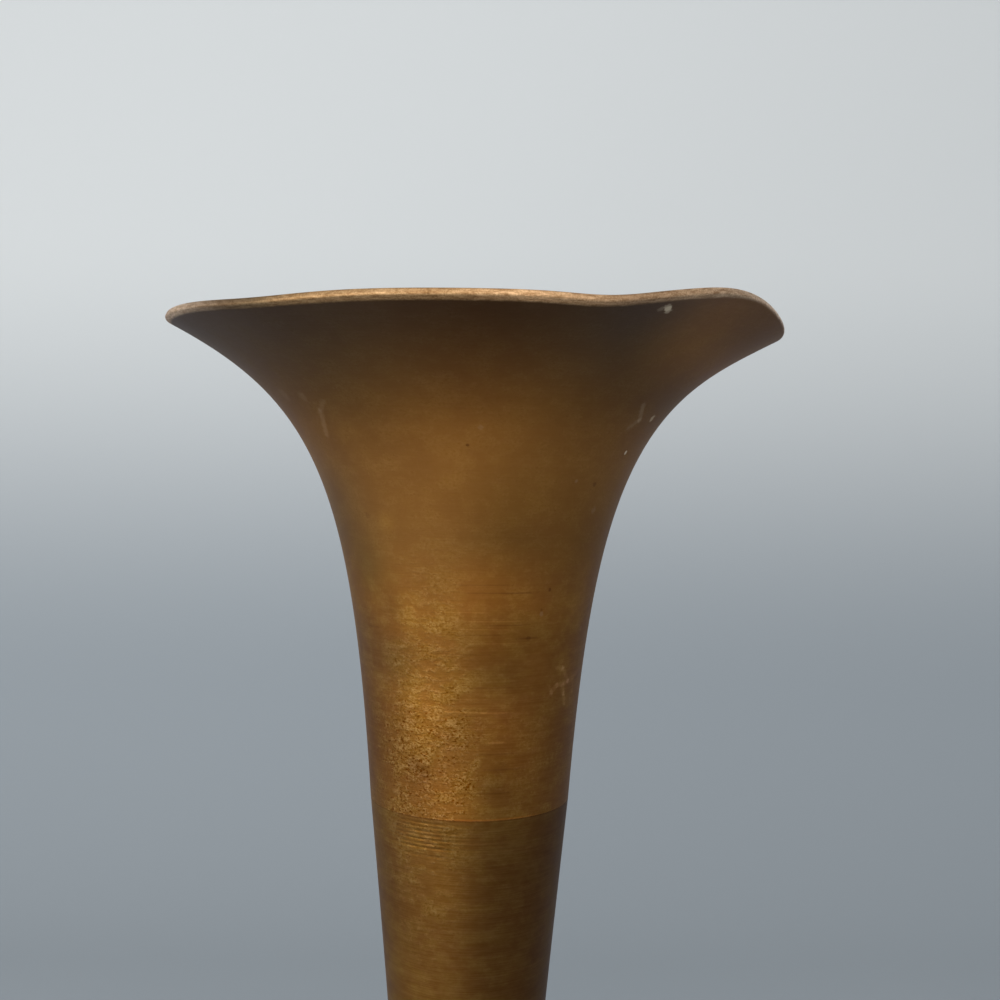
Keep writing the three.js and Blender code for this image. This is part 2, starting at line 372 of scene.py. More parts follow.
stem = turnedPiece("stem_tube", stemOutline(stemSpec), stemSpec["around"], cutGrooves)
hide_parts("stem")
print("stem made")


# Foot and collar

footSpec = {
    "radius": 42.5,
    "wall": 2,
    "neckRadius": 15,
    "slope": 14,
    "edgeRound": 4,
    "edgeHeight": 8.5,
    "neckReach": 20,
    "skirtReach": 15,
    "rebateWall": 1.2,
    "lift": 1,
    "plateTop": 3,
    "holeRadius": 6.8,
    "edgeBreak": 0.3,
    "steps": 60,
    "edgeSteps": 12,
    "around": 192,
}


def footOutline(spec):
    # Down a cubic curve from the neck to the shoulder, round the edge on an arc, under the rim and its
    # rebate, and up the same curves set in by the wall. It is turned round to run up its outside.
    edgeCentre = np.array([spec["radius"] - spec["edgeRound"], spec["edgeHeight"]])
    shoulder = edgeCentre + spec["edgeRound"] * towards(90 - spec["slope"])
    controls = [[spec["neckRadius"], footTop],
                [spec["neckRadius"], footTop - spec["neckReach"]],
                shoulder + spec["skirtReach"] * towards(180 - spec["slope"]),
                shoulder]
    points, tangents = bezier(controls, np.linspace(0, 1, spec["steps"]))
    edge = arc(edgeCentre, spec["edgeRound"], 90 - spec["slope"], 0, spec["edgeSteps"])
    edgeBreak = spec["edgeBreak"]
    rim = [[spec["radius"], spec["lift"] + edgeBreak], [spec["radius"] - edgeBreak, spec["lift"]]]
    rebate = spec["radius"] - spec["rebateWall"]
    rebatePoints = [[rebate, spec["lift"]], [rebate, spec["plateTop"]],
                    [spec["radius"] - spec["wall"], spec["plateTop"]]]
    innerEdge = arc(edgeCentre, spec["edgeRound"] - spec["wall"], 0, 90 - spec["slope"])
    roof = footTop - spec["wall"]
    inside = leftOf(points, tangents, -spec["wall"])[::-1]
    inside = inside[1:][inside[1:, 1] < roof]
    hole = [[spec["neckRadius"] - spec["wall"], roof], [spec["holeRadius"], roof],
            [spec["holeRadius"], footTop]]
    neckBreak = [[spec["neckRadius"] - edgeBreak, footTop], [spec["neckRadius"], footTop - edgeBreak]]
    outline = np.vstack((neckBreak, points[1:], edge[1:], rim, rebatePoints, innerEdge, inside, hole))
    return outline[::-1]


foot = turnedPiece("foot_dome", footOutline(footSpec), footSpec["around"])
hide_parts("foot")

smallAround = 144      # faces round the collar and round each inner piece

collarSpec = {"radius": 17, "holeRadius": 6.8, "beadSteps": 24}


def collarOutline(spec):
    # Half a circle from the foot to the stem, closed by the straight hole
    bead = (collarTop - footTop) / 2
    centre = [spec["radius"] - bead, footTop + bead]
    hole = [[spec["holeRadius"], collarTop], [spec["holeRadius"], footTop]]
    return np.vstack((arc(centre, bead, -90, 90, spec["beadSteps"]), hole))


collar = turnedPiece("collar_ring", collarOutline(collarSpec), smallAround)
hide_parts("foot_collar")
print("foot and collar made")


# Inner pieces and the underside, smooth versions of the same turned sizes

sleeveSpec = {"radius": 16.06, "wall": 1, "gap": 0.3, "edgeRound": 0.2}


def sleeveOutline(spec):
    # A plain ring across the joint, its edges just rounded
    inner, outer = spec["radius"] - spec["wall"], spec["radius"]
    bottom = jointZ - mouthSpec["socketDepth"]
    top = jointZ + mouthSpec["socketDepth"] - spec["gap"]
    return rounded([[inner, bottom], [outer, bottom], [outer, top], [inner, top]], spec["edgeRound"])


plugSpec = {
    "radius": 11.1,
    "bossRadius": 6.5,
    "bossLength": 24,
    "tappedRadius": 3.1,
    "tappedDepth": 18,
    "chamfer": 0.4,
}


def plugOutline(spec):
    # From the end of the tapped hole down to its mouth, up the boss, and round the disc to its middle
    bossBottom = collarTop - spec["bossLength"]
    tappedTop = bossBottom + spec["tappedDepth"]
    floorTop = collarTop + stemSpec["floor"]
    plug, boss, tapped, chamfer = (spec[key] for key in ("radius", "bossRadius", "tappedRadius", "chamfer"))
    return np.array([[0, tappedTop], [tapped, tappedTop], [tapped, bossBottom + chamfer],
                     [tapped + chamfer, bossBottom], [boss - chamfer, bossBottom],
                     [boss, bossBottom + chamfer], [boss, collarTop], [plug, collarTop],
                     [plug, floorTop - chamfer], [plug - chamfer, floorTop], [0, floorTop]])


feltSpec = {
    "radius": 39.5,
    "thickness": 1.5,
    "worn": (0.5, 0.15),      # how far the lower edge is rounded off, at its ends and in its middle
}


def feltOutline(spec):
    # A flat disc, its lower edge rounded off
    radius, thick = spec["radius"], spec["thickness"]
    worn, corner = spec["worn"]
    return np.array([[0, 0], [radius - worn, 0], [radius - corner, corner], [radius, worn],
                     [radius, thick], [0, thick]])


plateSpec = {
    "radius": 41,
    "thickness": 1.5,
    "wellRadius": 10,
    "wellDepth": 6,
    "wellSpread": 2,
    "boltHole": 3.3,
    "edgeRound": 0.4,
}
plateBottom = feltSpec["thickness"]
plateTop = plateBottom + plateSpec["thickness"]
wellFoot = plateSpec["wellRadius"] + plateSpec["wellSpread"]


def plateOutline(spec):
    # Under the plate from the bolt's hole, down the side of the well and out to the rim, and back above
    wellRoof = plateBottom + spec["wellDepth"]
    well, hole, thick = spec["wellRadius"], spec["boltHole"], spec["thickness"]
    return rounded([[hole, wellRoof], [well, wellRoof], [wellFoot, plateBottom],
                    [spec["radius"], plateBottom], [spec["radius"], plateTop],
                    [wellFoot + thick, plateTop], [well + thick, wellRoof + thick],
                    [hole, wellRoof + thick]], spec["edgeRound"])


ballastSpec = {"radius": 34, "edge": 5, "height": 9, "chamfer": 10, "gap": 0.3, "edgeRound": 0.8}


def ballastOutline(spec):
    # A ring on the plate, round the well, with one wide chamfer at its top
    inside, outside = wellFoot + plateSpec["thickness"] + spec["gap"], spec["radius"]
    top = plateTop + spec["height"]
    return rounded([[inside, plateTop], [outside, plateTop], [outside, plateTop + spec["edge"]],
                    [outside - spec["chamfer"], top], [inside, top]], spec["edgeRound"])


innerPieces = {}
for node, name, make, outline, slotName in (
    ("joint_sleeve", "sleeve_ring", turnedPiece, sleeveOutline(sleeveSpec), "inner_brass"),
    ("stem_floor", "floor_plug", turnedSolid, plugOutline(plugSpec), "inner_brass"),
    ("base_plate", "plate_disc", turnedPiece, plateOutline(plateSpec), "inner_brass"),
    ("ballast_ring", "ballast_casting", turnedPiece, ballastOutline(ballastSpec), "cast_iron"),
    ("felt_pad", "felt_disc", turnedSolid, feltOutline(feltSpec), "felt"),
):
    innerPieces[node] = make(name, outline, smallAround)
    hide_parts(node)
print("inner pieces made")


# Shader maths: a wrapped socket, so that finishes read as expressions

class Wire:
    def __init__(self, finish, socket):
        self.finish = finish
        self.socket = socket

    def math(self, operation, *others):
        return self.finish.math(operation, self, *others)

    def __add__(self, other):
        return self.finish.math("ADD", self, other)

    def __radd__(self, other):
        return self.finish.math("ADD", other, self)

    def __sub__(self, other):
        return self.finish.math("SUBTRACT", self, other)

    def __rsub__(self, other):
        return self.finish.math("SUBTRACT", other, self)

    def __mul__(self, other):
        return self.finish.math("MULTIPLY", self, other)

    def __rmul__(self, other):
        return self.finish.math("MULTIPLY", other, self)

    def __truediv__(self, other):
        return self.finish.math("DIVIDE", self, other)

    def __rtruediv__(self, other):
        return self.finish.math("DIVIDE", other, self)


class Node:
    def __init__(self, finish, node):
        self.finish = finish
        self.node = node

    def __getitem__(self, output):
        return Wire(self.finish, self.node.outputs[output])


markLook = {
    "noise": (2.2, 3, 0.6),      # scale, detail and roughness
    # how ragged the edge of a mark is, and how far in it has its full strength, as shares of its size
    "spot": (1.1, 0.45),
    "stroke": (1.6, 0.3),
    # where a turning line starts and where it is full, as shares of its width
    "line": (1.6, 0.4),
}


class Finish:
    def __init__(self, name):
        self.material = bpy.data.materials.new(name)
        self.material.use_nodes = True
        self.tree = self.material.node_tree
        self.tree.nodes.clear()
        coordinates = self.node("ShaderNodeTexCoord")["Object"]
        self.place = self.scaled(coordinates, (1 / mm,) * 3)      # Object coordinates in millimetres
        split = self.node("ShaderNodeSeparateXYZ", {}, {0: self.place})
        self.x, self.y, self.z = split["X"], split["Y"], split["Z"]
        self.ragged = self.noise(*markLook["noise"])      # what makes the edges of marks uneven

    def node(self, kind, settings=None, values=None):
        node = self.tree.nodes.new(kind)
        for key, value in (settings or {}).items():
            if key == "stops":
                self.setStops(node.color_ramp, value)
            else:
                setattr(node, key, value)
        for key, value in (values or {}).items():
            if isinstance(value, Wire):
                self.tree.links.new(value.socket, node.inputs[key])
            else:
                node.inputs[key].default_value = value
        return Node(self, node)

    def setStops(self, ramp, stops):
        while len(ramp.elements) < len(stops):
            ramp.elements.new(1)
        for element, (position, colour) in zip(ramp.elements, stops):
            element.position = position
            element.color = (*colour, 1)

    def math(self, operation, *values):
        return self.node("ShaderNodeMath", {"operation": operation}, dict(enumerate(values)))[0]

    def vector(self, operation, *values, output="Vector"):
        return self.node("ShaderNodeVectorMath", {"operation": operation}, dict(enumerate(values)))[output]

    def scaled(self, vector, scale):
        return self.vector("MULTIPLY", vector, scale)

    def noise(self, scale, detail, rough, vector=None):
        values = {"Vector": vector or self.place, "Scale": scale, "Detail": detail, "Roughness": rough}
        return self.node("ShaderNodeTexNoise", {}, values)["Fac"]

    def step(self, value, low, high, fromValue=0.0, toValue=1.0):
        # A smooth step of the value from low to high
        values = {"Value": value, "From Min": low, "From Max": high, "To Min": fromValue, "To Max": toValue}
        return self.node("ShaderNodeMapRange", {"interpolation_type": "SMOOTHSTEP"}, values)["Result"]

    def mix(self, share, first, second, blend="MIX"):
        settings = {"data_type": "RGBA", "blend_type": blend, "clamp_factor": True, "clamp_result": False}
        colours = [value if isinstance(value, Wire) else (*value, 1) for value in (first, second)]
        return self.node("ShaderNodeMix", settings, {0: share, 6: colours[0], 7: colours[1]})[2]

    def tint(self, colour, tint, share=1.0):
        # The colour times the tint, as far as the share goes
        return self.mix(share, colour, tint, "MULTIPLY")

    def ramp(self, value, stops):
        # Colours at given values, blended between them; the values are scaled to the ramp's 0 to 1
        first, last = stops[0][0], stops[-1][0]
        scaledStops = [((at - first) / (last - first), colour) for at, colour in stops]
        share = (value - first) / (last - first)
        return self.node("ShaderNodeValToRGB", {"stops": scaledStops}, {"Fac": share})["Color"]

    def spot(self, point, size):
        # 1 at a point, fading to 0 round it, with a ragged edge
        away = self.vector("DISTANCE", self.place, point, output="Value")
        raggedness, core = markLook["spot"]
        ragged = away + (self.ragged - 0.5) * size * raggedness
        return self.step(ragged, size, size * core)

    def haze(self, point, reach):
        # 1 at a point, fading softly to 0 at the reach
        away = self.vector("DISTANCE", self.place, point, output="Value")
        return self.step(away, reach, 0)

    def stroke(self, first, last, width):
        # 1 along the straight line between two points, fading to 0 at its width
        along = Vector(last) - Vector(first)
        start = self.vector("SUBTRACT", self.place, first)
        dot = self.vector("DOT_PRODUCT", start, along, output="Value")
        share = self.node("ShaderNodeClamp", {}, {0: dot / along.length_squared})["Result"]
        nearest = self.node("ShaderNodeVectorMath", {"operation": "SCALE"},
                            {0: along, "Scale": share})["Vector"]
        away = self.vector("DISTANCE", start, nearest, output="Value")
        raggedness, core = markLook["stroke"]
        ragged = away + (self.ragged - 0.5) * width * raggedness
        return self.step(ragged, width, width * core)

    def bump(self, height, distance, strength, under=None):
        values = {"Height": height, "Distance": distance * mm, "Strength": strength}
        if under:
            values["Normal"] = under
        return self.node("ShaderNodeBump", {}, values)["Normal"]

    def surface(self, values):
        shader = self.node("ShaderNodeBsdfPrincipled", {}, values)["BSDF"]
        self.node("ShaderNodeOutputMaterial", {}, {"Surface": shader})
        return self.material


# Marks on the mouth as the photographed side shows them. Each is placed by its angle and its height
# above the joint; sizes are in millimetres, and strength is how much of the tint it takes.

dustSpots = [
    # angle, height, size, strength: crumbs and films of pale dust
    (303.3, 86.96, 0.85, 0.9),
    (301.7, 86.80, 0.80, 0.25),
    (332.5, 70.9, 0.90, 0.5),
    (328.2, 64.8, 0.55, 0.9),
    (307.2, 59.9, 0.45, 0.12),
    (321.5, 54.7, 0.80, 0.09),
    (271.6, 68.6, 0.60, 0.08),
    (302.2, 36.7, 0.55, 0.08),
    (333.8, 33.0, 0.60, 0.08),
    (208.6, 73.9, 1.80, 0.06),
    (218.4, 73.5, 1.40, 0.06),
]
darkSpots = [
    (267.9, 65.7, 0.36, 0.8),
    (316.9, 59.3, 0.55, 0.5),
    (305.1, 40.9, 0.45, 0.7),
    (302.0, 37.4, 0.35, 0.5),
    (226.0, 53.4, 0.70, 0.25),
    (296.6, 32.5, 0.55, 0.4),
    (239.0, 9.6, 1.80, 0.3),
    (246.0, 8.4, 1.50, 0.25),
    (286.0, 9.4, 1.80, 0.2),
]
dustStrokes = [
    # angle and height at each end, width, strength
    (302.5, 87.25, 304.0, 86.65, 0.75, 0.6),
    (321.5, 72.9, 324.9, 70.5, 0.80, 0.15),
    (324.9, 70.5, 321.5, 69.1, 0.80, 0.12),
    (222.2, 71.1, 218.5, 67.1, 0.8, 0.08),
    (226.0, 72.6, 222.6, 71.2, 0.8, 0.05),
]
rubbedStrokes = [
    # the same, for a star of rubbed scratches
    (316.1, 26.5, 320.8, 26.3, 0.60, 0.7),
    (320.8, 26.3, 326.9, 23.7, 0.62, 0.7),
    (337.6, 24.7, 327.0, 23.5, 0.62, 0.6),
    (327.0, 23.5, 317.4, 23.4, 0.62, 0.8),
    (317.4, 23.4, 313.8, 22.2, 0.70, 0.8),
    (313.8, 22.2, 312.0, 23.4, 0.50, 0.5),
    (322.5, 23.2, 324.0, 21.4, 0.60, 0.7),
    (324.0, 21.4, 325.8, 19.7, 0.64, 0.8),
    (333.5, 22.8, 333.4, 21.4, 0.50, 0.5),
]
turnedLines = [
    # angle, height, half-length, half-width, tint, strength
    (274, 42.0, 7, 0.10, "dark", 0.25),
    (281, 40.6, 8, 0.12, "dark", 0.3),
    (290, 40.5, 4, 0.12, "dark", 0.3),
    (266, 37.2, 5, 0.12, "pale", 0.3),
    (281, 35.6, 6, 0.10, "pale", 0.4),
    (286, 34.9, 5, 0.12, "dark", 0.3),
    (275, 34.2, 6, 0.10, "pale", 0.35),
    (272, 33.2, 7, 0.14, "dark", 0.22),
    (296, 32.5, 3, 0.16, "dark", 0.35),
    (284, 31.7, 6, 0.12, "pale", 0.25),
    (266, 29.8, 6, 0.12, "dark", 0.22),
    (278, 23.9, 6, 0.10, "dark", 0.22),
    (262, 19.6, 3, 0.14, "pale", 0.7),
    (272, 19.5, 3, 0.14, "pale", 0.7),
    (281, 19.4, 3, 0.14, "pale", 0.6),
    (264, 18.9, 5, 0.10, "dark", 0.25),
    (283, 14.1, 2, 0.18, "pale", 0.6),
    (272, 16.6, 3, 0.12, "pale", 0.35),
    (270, 12.9, 5, 0.12, "pale", 0.4),
    (283, 12.0, 5, 0.14, "dark", 0.25),
    (288, 9.2, 5, 0.18, "dark", 0.25),
    (280, 5.0, 6, 0.12, "dark", 0.2),
    (217, 33.4, 3, 0.14, "dark", 0.3),
    (283, 0.2, 10, 0.16, "ruddy", 0.6),
]
toneAndLightPatches = [
    # angle, height, reach, tint: soft lighter and darker stretches, partly patina and partly painted light.
    # The bluish ones near angle 205 paint a reflection of the backdrop at the left edge, and the small
    # bright ones near angles 241 to 262 paint highlight streaks.
    (268, 80.0, 30, (1.36, 1.27, 1.12)),
    (315, 84.5, 16, (1.42, 1.36, 1.04)),
    (274, 67.0, 30, (1.22, 1.14, 1.03)),
    (235, 52.4, 3, (1.14, 1.18, 1.10)),
    (281, 40.5, 11.5, (1.45, 1.32, 1.15)),
    (222, 44.0, 8, (0.84, 0.92, 1.00)),
    (298, 50.5, 7, (0.94, 0.91, 0.98)),
    (306, 41.0, 9, (0.90, 0.84, 0.95)),
    (282, 31.0, 6, (1.12, 1.08, 1.02)),
    (292, 43.5, 6, (0.93, 0.91, 0.98)),
    (203, 55.0, 18, (0.98, 1.10, 1.45)),
    (205, 30.0, 15, (1.00, 1.08, 1.40)),
    (241, 36.5, 6, (1.12, 1.14, 1.06)),
    (232, 37.5, 5, (0.80, 0.80, 0.88)),
    (230, 28.0, 8, (0.74, 0.77, 0.86)),
    (260, 26.0, 7, (0.88, 0.87, 0.85)),
    (247, 19.0, 7, (1.18, 1.16, 1.06)),
    (285, 18.5, 8, (1.17, 1.06, 1.04)),
    (264, 18.0, 7, (0.88, 0.84, 0.84)),
    (290, 12.0, 11, (1.14, 1.06, 1.00)),
    (243, 14.5, 5, (1.08, 1.08, 1.01)),
    (243, 8.5, 4.5, (0.83, 0.78, 0.80)),
    (281, 6.0, 4, (0.91, 0.92, 0.95)),
    (209, 10.5, 8, (1.09, 1.09, 1.02)),
    (262, 3.5, 9, (1.26, 1.22, 1.06)),
]


def onMouth(angle, height):
    # The point of the outer wall at an angle and a height above the joint, waves included. What the
    # waves gain there depends on the radius, and the other way round, so they are found in a few turns.
    outside = bellOutline[:mouthSpec["outsideSteps"]]
    radius = np.interp(jointZ + height, outside[:, 1], outside[:, 0])
    for attempt in range(6):
        gained = float(waveLip(radius, np.float64(angle), 0.0)[1])
        radius = np.interp(jointZ + height - gained, outside[:, 1], outside[:, 0])
    return (*(radius * towards(angle)), jointZ + height)


# Aged brass: what differs from piece to piece is in one dictionary each

brassLook = {
    "rough": 0.5,
    "roughVaries": (0.1, 0.25),       # with the small clouds, and with the grains in the patch
    "grazing": (0.86, 0.87, 0.92),    # how much of the metal's paling at a grazing view is left
    # tints multiply the metal's colour; each pair is the two ends of one variation
    "broad": ((0.93, 0.91, 0.92), (1.10, 1.12, 1.05)),
    "cloud": ((0.93, 0.86, 0.83), (1.07, 1.11, 1.10)),
    "mottle": ((0.85, 0.79, 0.56), (1.12, 1.18, 1.27)),
    "speckle": ((0.64, 0.54, 0.24), (1.31, 1.47, 2.12)),
    "speckleShare": (26, 10, 0.45, 0.95),      # two heights above the joint, and its share at each
    "pit": (0.62, 0.43, 0.17),
    "pitShare": 1.4,
    "line": ((0.88, 0.83, 0.74), (1.10, 1.14, 1.34)),
    "wideLineShare": 0.35,
    "patchAt": (-7.5, -17.5, 10),     # the pitted patch; its height is above the joint
    "patchShape": (2.9, 0.5, 0.8),    # it is narrower across than up
    "patchReach": (36, 6),
    "patchElsewhere": 0.22,
    "patchMost": 1.2,
    "patchClouded": 1.4,              # how much the small clouds break it up, beside the mottling
    "patchBroken": (0.3, 0.68, 0.2, 1.3),      # two levels of both, and the share that is left at each
    "rearShare": 0.6,                 # the weaker patch on the far side
    "rearFrom": (-6, 8),              # along Y
    "rearClouds": (0.5, 0.62),        # and between these levels of the broad clouds
    "mottleShare": (0.2, 0.8),        # away from the patch, and what the patch adds
    # how deep the lines and the grains are, and how strongly they show
    "bumps": {"lines": (0.03, 0.35), "grains": (0.06, 0.5)},
}

# What the variations are drawn with: the noise's scale, detail and roughness, how it is squeezed along
# X, Y and Z, and the levels of the noise at which the two ends of the variation are reached
brassGrains = {
    "broad": (0.05, 2, 0.5, (1, 1, 1), (0.38, 0.62)),
    "cloud": (0.2, 3, 0.6, (1, 1, 1.5), (0.38, 0.62)),
    "mottle": (0.62, 2, 0.6, (1, 1, 1.6), (0.35, 0.65)),
    "speckle": (2.1, 4, 0.68, (1, 1, 1.25), (0.34, 0.66)),
    "pit": (1.7, 2, 0.5, (1, 1, 1.5), (0.56, 0.67)),
    "line": (1, 3, 0.65, (0.13, 0.13, 4.6), (0.34, 0.66)),
    "wideLine": (1, 2, 0.5, (0.06, 0.06, 1.3), (0.36, 0.64)),
}

mouthLook = {
    **brassLook,
    # the metal's colour at heights above the joint, darker towards the lip: partly patina and partly
    # painted shade on the flare's underside, which faces down
    "heights": [
        (0, (0.200, 0.092, 0.0186)), (12, (0.200, 0.091, 0.0186)), (22, (0.212, 0.096, 0.0198)),
        (33, (0.216, 0.099, 0.0200)), (38, (0.230, 0.104, 0.0210)), (50, (0.208, 0.097, 0.0230)),
        (57, (0.238, 0.110, 0.0268)), (63, (0.264, 0.122, 0.0312)), (68, (0.245, 0.113, 0.0296)),
        (73, (0.188, 0.090, 0.0262)), (77, (0.152, 0.077, 0.0268)), (81, (0.124, 0.067, 0.0270)),
        (84, (0.106, 0.060, 0.0280)), (86, (0.100, 0.057, 0.0290)),
    ],
    "flareLighter": (2.05, 1.7, 1.2),     # under the raised part of the lip
    "flareFrom": (22, 44),                # along X
    "flareHeights": (72, 82),
    # two heights above the joint, and the share of the clouds or of the turning lines at each
    "lively": (52, 32, 0.4, 1),
    "lined": (54, 10, 0.12, 0.58),
    # the worn lip's colour along X: worn brass, whose changes in brightness along X are partly painted
    # sheen where light catches the edge
    "worn": [
        (-56, (0.42, 0.31, 0.23)), (-50, (0.60, 0.45, 0.315)), (-45, (0.38, 0.275, 0.18)),
        (-39, (0.20, 0.13, 0.07)), (-34, (0.22, 0.145, 0.073)), (-27, (0.43, 0.27, 0.128)),
        (-14, (0.51, 0.325, 0.158)), (-4, (0.49, 0.305, 0.145)), (8, (0.74, 0.485, 0.26)),
        (24, (0.40, 0.255, 0.142)), (34, (0.58, 0.395, 0.235)), (44, (0.57, 0.42, 0.285)),
        (54, (0.85, 0.69, 0.53)),
    ],
    "wornGrain": ((0.64, 0.58, 0.51), (1.20, 1.23, 1.30)),
    "wornGrainLevels": (0.38, 0.62),
    "stained": (0.78, 0.72, 0.66),
    "stainedLevels": (0.42, 0.62),
    "stainedStretches": (0.4, 0.6, 0.35, 1),      # two levels, and the stain's share at each
    "wornFrom": (-1.2, -0.35),            # millimetres past the lip's lower edge where it starts
    "wornTo": (3.2, 2.2),                 # and where it ends, inside the bell
    "wornWobble": 0.5,
    "wornWider": ((-30, -22), (22, 13), 0.17),    # along X, where it widens, and by how much
    "wornNarrower": (36, 48, 0, 1.08),    # two places along X, and how much narrower it is at each
    "wornRough": 0.15,
    "rimShadow": (0.62, 0.55, 0.5),       # painted shade: darker just under it on the left, below the lip's edge
    "rimShadowFrom": (-1.3, -0.75),
    "rimShadowAlong": (-14, -40),
    "dust": (0.50, 0.41, 0.29),
    "dustRough": 0.3,
    "dustCovers": 0.8,                    # how much of the metal's shine it hides
    "dustMost": 0.9,
    "rubbed": (1.33, 1.46, 2.0),
    "pale": (1.5, 1.6, 1.9),
    "ruddy": (1.5, 1.2, 1.2),
    "dark": (0.5, 0.40, 0.45),
}

# The noises of the worn lip: scale, detail and roughness
lipGrains = {
    "wobble": (1.6, 3, 0.7),
    "stain": (1.3, 3, 0.7),
    "stretch": (0.12, 2, 0.5),
    "fine": (3.4, 4, 0.75),
    "streak": (1.6, 3, 0.7),
}
lipSqueeze = (0.3, 0.3, 1.3)      # along X and Y, and across the lip


def between(f, share, pair):
    # The colour at a share between the two of a pair
    return f.mix(share, *pair)


def brassPatch(f, look, grain):
    # How strong the pitted patch is: a stretched ball round its place and a weaker patch on the far
    # side, both broken up by the mottling and the small clouds
    patchX, patchY, aboveJoint = look["patchAt"]
    fromPatch = f.vector("SUBTRACT", f.place, (patchX, patchY, aboveJoint + jointZ))
    away = f.vector("LENGTH", f.scaled(fromPatch, look["patchShape"]), output="Value")
    rear = f.step(grain["broad"], *look["rearClouds"]) * f.step(f.y, *look["rearFrom"]) * look["rearShare"]
    patch = f.step(away, *look["patchReach"]) + rear.math("MAXIMUM", look["patchElsewhere"])
    clouds = (grain["cloud"] - 0.5) * look["patchClouded"]
    patch = patch * f.step(grain["mottle"] + clouds, *look["patchBroken"])
    return patch.math("MINIMUM", look["patchMost"])


def brassSurface(f, look, colour, lively=1.0, lined=0.7):
    # The finish that every brass piece shares: broad and small clouds, fine turning lines, and a patch
    # of dense pits and bright grains. Gives the colour, the roughness and the bumped normal. lively
    # scales the clouds and lined the turning lines.
    grain = {}
    share = {}
    for name, (scale, detail, rough, squeeze, levels) in brassGrains.items():
        grain[name] = f.noise(scale, detail, rough, f.scaled(f.place, squeeze))
        share[name] = f.step(grain[name], *levels)
    patch = brassPatch(f, look, grain)
    coarse = patch * f.step(f.z - jointZ, *look["speckleShare"])
    plainMottle, patchMottle = look["mottleShare"]

    colour = f.tint(colour, between(f, share["broad"], look["broad"]), lively)
    colour = f.tint(colour, between(f, share["cloud"], look["cloud"]), lively)
    mottled = (plainMottle + patch * patchMottle) * lively
    colour = f.tint(colour, between(f, share["mottle"], look["mottle"]), mottled)
    colour = f.tint(colour, between(f, share["speckle"], look["speckle"]), coarse)
    colour = f.tint(colour, look["pit"], share["pit"] * coarse * look["pitShare"])
    colour = f.tint(colour, between(f, share["line"], look["line"]), lined)
    wideLined = lined * look["wideLineShare"]
    colour = f.tint(colour, between(f, share["wideLine"], look["line"]), wideLined)

    cloudRough, grainRough = look["roughVaries"]
    rough = look["rough"] + (grain["cloud"] - 0.5) * cloudRough
    rough = rough - (grain["speckle"] - 0.5) * patch * grainRough
    normal = f.bump(grain["line"], *look["bumps"]["lines"])
    normal = f.bump(grain["speckle"] * patch, *look["bumps"]["grains"], normal)
    return colour, rough, normal


def brassShader(f, look, colour, rough, normal, metallic=1.0):
    values = {"Base Color": colour, "Metallic": metallic, "Roughness": rough, "Normal": normal,
              "Specular Tint": (*look["grazing"], 1)}
    return f.surface(values)


def marked(f, look, colour, height):
    # The single marks of the mouth: soft stretches of patina and painted light, rubbed scratches, dark
    # specks and turning lines
    # soft stretches of patina, among them a painted reflection and painted highlight streaks
    for angle, above, reach, tint in toneAndLightPatches:
        colour = f.tint(colour, tint, f.haze(onMouth(angle, above), reach))
    for first, low, last, high, width, strength in rubbedStrokes:
        rubbed = f.stroke(onMouth(first, low), onMouth(last, high), width) * strength
        colour = f.tint(colour, look["rubbed"], rubbed)
    for angle, above, size, strength in darkSpots:
        colour = f.tint(colour, look["dark"], f.spot(onMouth(angle, above), size) * strength)
    outer, inner = markLook["line"]
    for angle, above, length, width, tint, strength in turnedLines:
        along = f.spot(onMouth(angle, above), length)
        across = f.step((height - above).math("ABSOLUTE"), width * outer, width * inner)
        colour = f.tint(colour, look[tint], along * across * strength)
    return colour


def wornLipWithPaintedLight(f, look, colour):
    # The worn, brighter edge of the lip, its colour along X partly painted sheen, with painted shade just
    # under it. Gives the colour and where it is worn.
    pastEdge = f.node("ShaderNodeAttribute", {"attribute_name": "pastEdge"})["Fac"]
    wideFrom, wideTo, wideBy = look["wornWider"]
    wider = f.step(f.x, *wideFrom) * f.step(f.x, *wideTo) * wideBy
    wobble = (f.noise(*lipGrains["wobble"]) - 0.5) * look["wornWobble"]
    past = pastEdge + wobble - f.step(f.x, *look["wornNarrower"]) + wider
    outside = f.step(pastEdge, *look["wornTo"])
    worn = f.step(past, *look["wornFrom"]) * outside
    # painted shade just under the lip's edge, on the left
    shadow = f.step(past, *look["rimShadowFrom"]) * outside * f.step(f.x, *look["rimShadowAlong"])
    colour = f.tint(colour, look["rimShadow"], shadow)

    alongLip = f.node("ShaderNodeCombineXYZ", {}, {0: f.x, 1: f.y, 2: pastEdge})["Vector"]
    alongLip = f.scaled(alongLip, lipSqueeze)
    stain = f.step(f.noise(*lipGrains["stain"], alongLip), *look["stainedLevels"])
    stain = stain * f.step(f.noise(*lipGrains["stretch"]), *look["stainedStretches"])
    # the band's colour along X: worn brass with painted sheen
    lip = f.tint(f.ramp(f.x, look["worn"]), look["stained"], stain)
    grain = f.noise(*lipGrains["fine"]) * 0.5 + f.noise(*lipGrains["streak"], alongLip) * 0.5
    grain = between(f, f.step(grain, *look["wornGrainLevels"]), look["wornGrain"])
    lip = f.tint(lip, grain)
    return f.mix(worn, colour, lip), worn


def dustOn(f, look):
    # How much dust lies at each place of the mouth
    dust = 0
    for angle, above, size, strength in dustSpots:
        dust = dust + f.spot(onMouth(angle, above), size) * strength
    for first, low, last, high, width, strength in dustStrokes:
        dust = dust + f.stroke(onMouth(first, low), onMouth(last, high), width) * strength
    return dust.math("MINIMUM", look["dustMost"])


